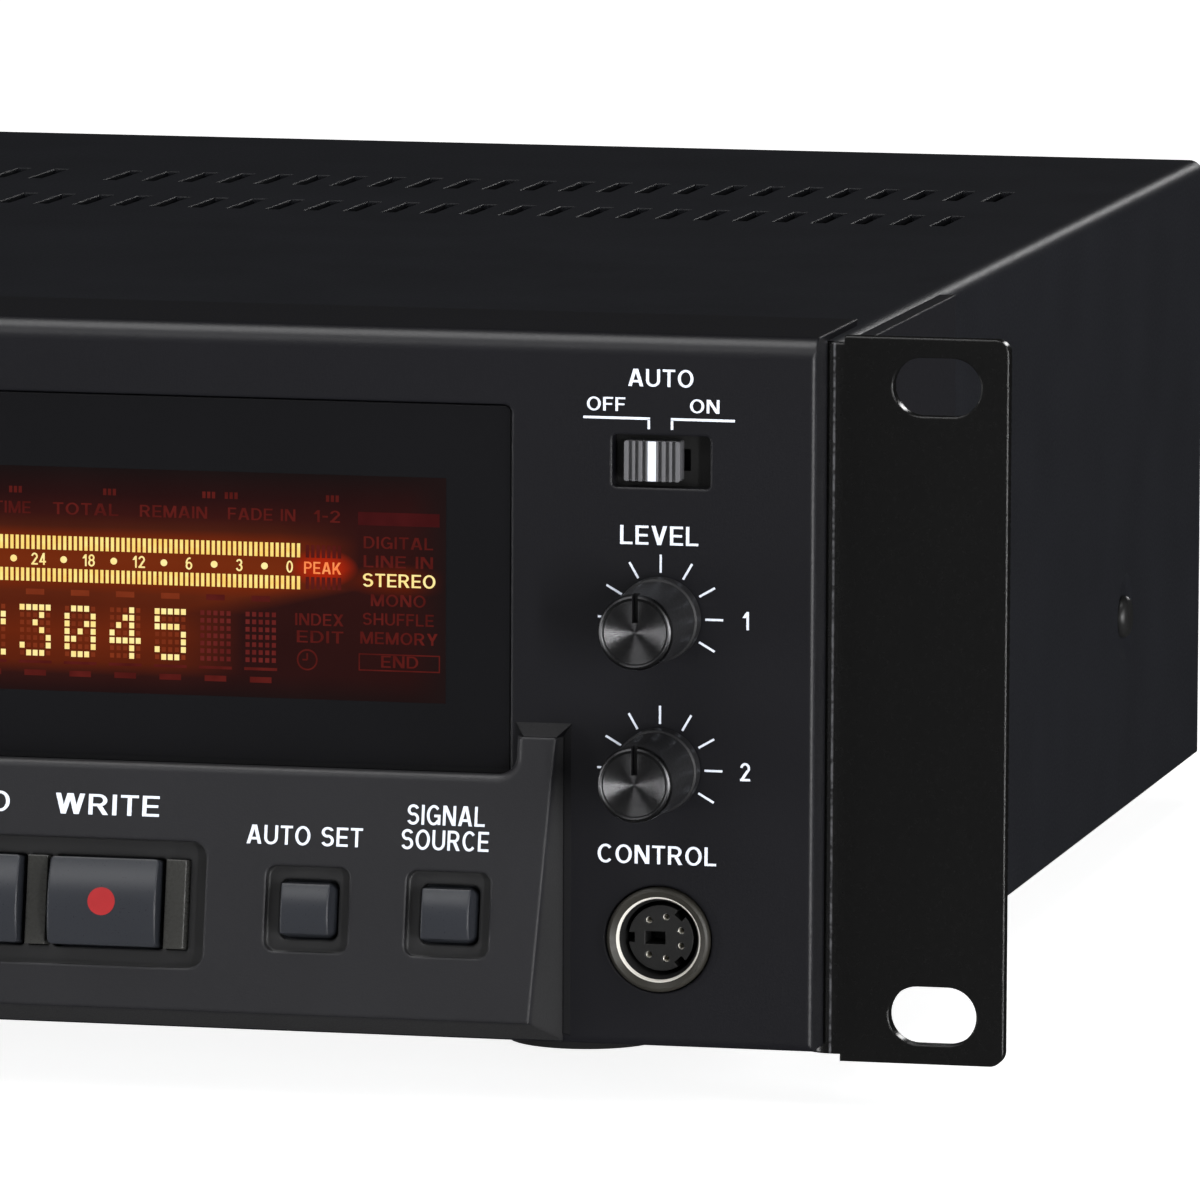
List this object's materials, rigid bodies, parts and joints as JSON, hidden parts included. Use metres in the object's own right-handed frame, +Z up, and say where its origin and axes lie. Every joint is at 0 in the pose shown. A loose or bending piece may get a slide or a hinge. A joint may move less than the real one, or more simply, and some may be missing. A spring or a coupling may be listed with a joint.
{
  "type": "rack cd recorder",
  "caption": "Rack-mount disc recorder with a sliding tray, display window, sloped control shelf with push keys, turning knobs, slotted rack ears and feet.",
  "frame": {"origin": "under the middle of the case, on the surface that the feet stand on", "axes": "+X to the right seen from the front, +Y from the front to the back, +Z up"},
  "size_m": [0.4826, 0.309, 0.0948],
  "materials": {
    "cover_paint": "satin black paint with a fine texture",
    "ear_paint": "semi-gloss black paint",
    "plated_steel": "zinc-plated sheet",
    "rear_paint": "satin black paint",
    "panel_plastic": "fine matt texture",
    "shelf_plastic": "fine matt texture",
    "window_plastic": "polished, smoked",
    "key_plastic": "satin",
    "lens_plastic": "smoked, moulded",
    "knob_finish": "turned and black anodised",
    "dial_plastic": "satin",
    "slider_plastic": "satin",
    "foot_plastic": "matt",
    "black_screw": "blackened",
    "bright_shell": "nickel-plated",
    "insert_plastic": "moulded",
    "board_green": "laminate with solder mask",
    "display_glass": "display tube on its board",
    "loader_plastic": "moulded",
    "white_plastic": "moulded",
    "bright_steel": "turned",
    "brass": "turned",
    "belt_rubber": "moulded"
  },
  "bodies": {
    "case": {"chassis_base": "plated_steel", "board_posts": "plated_steel", "top_cover": "cover_paint", "rear_panel": "rear_paint", "front_panel": "panel_plastic", "control_shelf": "shelf_plastic", "display_window": "window_plastic", "rack_ear_left": "ear_paint", "rack_ear_right": "ear_paint", "feet": "foot_plastic", "case_screws": "black_screw", "ear_screws": "black_screw", "display_module": "display_glass", "key_board": "board_green", "mode_switch": "insert_plastic", "right_board": "board_green", "left_board": "board_green", "main_board": "board_green", "power_board": "board_green", "mains_inlet": "insert_plastic", "phono_sockets": "insert_plastic", "optical_sockets": "insert_plastic", "phones_jack": "insert_plastic", "socket_shell": "bright_shell", "socket_insert": "insert_plastic", "key_lenses": "lens_plastic", "loader_frame": "loader_plastic", "clamp_bridge": "plated_steel", "loading_motor": "bright_steel", "loading_belt": "belt_rubber"},
    "tray": {"disc_tray": "loader_plastic", "tray_door": "panel_plastic"},
    "drive_gear": {"drive_gear": "white_plastic"},
    "motor_pulley": {"motor_pulley": "brass"},
    "traverse": {"traverse": "loader_plastic", "spindle_motor": "bright_steel", "guide_rods": "bright_steel", "sled_motor": "bright_steel"},
    "turntable": {"turntable": "loader_plastic"},
    "pickup_sled": {"pickup_sled": "loader_plastic"},
    "lead_screw": {"lead_screw": "bright_steel"},
    "clamp_puck": {"clamp_puck": "white_plastic"},
    "power_button": {"power_button": "key_plastic"},
    "open_key": {"open_key": "key_plastic"},
    "phones_knob": {"phones_knob": "knob_finish"},
    "level_knob_1": {"level_knob_1": "knob_finish"},
    "level_knob_2": {"level_knob_2": "knob_finish"},
    "mode_slider": {"mode_slider": "slider_plastic"},
    "jog_dial": {"jog_dial": "dial_plastic"},
    "stop_key": {"stop_key": "key_plastic"},
    "play_key": {"play_key": "key_plastic"},
    "pause_key": {"pause_key": "key_plastic"},
    "record_key": {"record_key": "key_plastic"},
    "menu_key": {"menu_key": "key_plastic"},
    "text_key": {"text_key": "key_plastic"},
    "finish_key": {"finish_key": "key_plastic"},
    "skip_back_key": {"skip_back_key": "key_plastic"},
    "skip_forward_key": {"skip_forward_key": "key_plastic"},
    "auto_key": {"auto_key": "key_plastic"},
    "source_key": {"source_key": "key_plastic"}
  },
  "joints": [
    {"name": "tray_slide", "type": "slide", "parent": "case", "child": "tray", "axis": [0, -1, 0], "range_m": [0, 0.136]},
    {"name": "drive_gear_spin", "type": "hinge", "parent": "case", "child": "drive_gear", "pos_m": [-0.152, -0.112, 0.0615], "axis": [0, 0, 1], "range_deg": [0, 870]},
    {"name": "motor_pulley_spin", "type": "hinge", "parent": "case", "child": "motor_pulley", "pos_m": [-0.127, -0.114, 0.0565], "axis": [0, 0, 1], "range_deg": [0, 3581]},
    {"name": "traverse_lift", "type": "hinge", "parent": "case", "child": "traverse", "pos_m": [-0.108, 0.03, 0.0605], "axis": [-1, 0, 0], "range_deg": [0, 5]},
    {"name": "turntable_spin", "type": "hinge", "parent": "traverse", "child": "turntable", "pos_m": [-0.108, -0.06765, 0.05798], "axis": [0, -0.0872, 0.9962], "continuous": true},
    {"name": "pickup_slide", "type": "slide", "parent": "traverse", "child": "pickup_sled", "axis": [0, 0.9962, 0.0872], "range_m": [0, 0.034]},
    {"name": "lead_screw_spin", "type": "hinge", "parent": "traverse", "child": "lead_screw", "pos_m": [-0.0838, -0.02724, 0.05499], "axis": [0, 0.9962, 0.0872], "range_deg": [0, 4090]},
    {"name": "clamp_puck_spin", "type": "hinge", "parent": "case", "child": "clamp_puck", "pos_m": [-0.108, -0.0675, 0.0815], "axis": [0, 0, 1], "continuous": true},
    {"name": "power_press", "type": "slide", "parent": "case", "child": "power_button", "axis": [0, 1, 0], "range_m": [0, 0.003], "stiffness_N_per_m": 400},
    {"name": "open_press", "type": "slide", "parent": "case", "child": "open_key", "axis": [0, 1, 0], "range_m": [0, 0.0008], "stiffness_N_per_m": 600},
    {"name": "phones_turn", "type": "hinge", "parent": "case", "child": "phones_knob", "pos_m": [-0.2003, -0.145, 0.0465], "axis": [0, 1, 0], "range_deg": [-150, 150]},
    {"name": "level_1_turn", "type": "hinge", "parent": "case", "child": "level_knob_1", "pos_m": [0.2003, -0.145, 0.0606], "axis": [0, 1, 0], "range_deg": [-150, 150]},
    {"name": "level_2_turn", "type": "hinge", "parent": "case", "child": "level_knob_2", "pos_m": [0.2003, -0.145, 0.0423], "axis": [0, 1, 0], "range_deg": [-150, 150]},
    {"name": "mode_shift", "type": "slide", "parent": "case", "child": "mode_slider", "axis": [1, 0, 0], "range_m": [0, 0.0029]},
    {"name": "jog_turn", "type": "hinge", "parent": "case", "child": "jog_dial", "pos_m": [-0.055, -0.14775, 0.0249], "axis": [0, 0.9847, -0.1743], "continuous": true},
    {"name": "stop_press", "type": "slide", "parent": "case", "child": "stop_key", "axis": [0, 0.9847, -0.1743], "range_m": [0, 0.0008], "stiffness_N_per_m": 600},
    {"name": "play_press", "type": "slide", "parent": "case", "child": "play_key", "axis": [0, 0.9847, -0.1743], "range_m": [0, 0.0008], "stiffness_N_per_m": 600},
    {"name": "pause_press", "type": "slide", "parent": "case", "child": "pause_key", "axis": [0, 0.9847, -0.1743], "range_m": [0, 0.0008], "stiffness_N_per_m": 600},
    {"name": "record_press", "type": "slide", "parent": "case", "child": "record_key", "axis": [0, 0.9847, -0.1743], "range_m": [0, 0.0008], "stiffness_N_per_m": 600},
    {"name": "menu_press", "type": "slide", "parent": "case", "child": "menu_key", "axis": [0, 0.9847, -0.1743], "range_m": [0, 0.0008], "stiffness_N_per_m": 600},
    {"name": "text_press", "type": "slide", "parent": "case", "child": "text_key", "axis": [0, 0.9847, -0.1743], "range_m": [0, 0.0008], "stiffness_N_per_m": 600},
    {"name": "finish_press", "type": "slide", "parent": "case", "child": "finish_key", "axis": [0, 0.9847, -0.1743], "range_m": [0, 0.0008], "stiffness_N_per_m": 600},
    {"name": "skip_back_press", "type": "slide", "parent": "case", "child": "skip_back_key", "axis": [0, 0.9847, -0.1743], "range_m": [0, 0.0008], "stiffness_N_per_m": 600},
    {"name": "skip_forward_press", "type": "slide", "parent": "case", "child": "skip_forward_key", "axis": [0, 0.9847, -0.1743], "range_m": [0, 0.0008], "stiffness_N_per_m": 600},
    {"name": "auto_press", "type": "slide", "parent": "case", "child": "auto_key", "axis": [0, 0.9847, -0.1743], "range_m": [0, 0.0008], "stiffness_N_per_m": 600},
    {"name": "source_press", "type": "slide", "parent": "case", "child": "source_key", "axis": [0, 0.9847, -0.1743], "range_m": [0, 0.0008], "stiffness_N_per_m": 600}
  ],
  "couplings": [
    {"joint": "drive_gear_spin", "follows": "tray_slide", "rad_per_m": 111.11},
    {"joint": "motor_pulley_spin", "follows": "tray_slide", "rad_per_m": 458.33},
    {"joint": "lead_screw_spin", "follows": "pickup_slide", "rad_per_m": 2094.4},
    {"joint": "clamp_puck_spin", "follows": "turntable_spin", "ratio": 1}
  ]
}
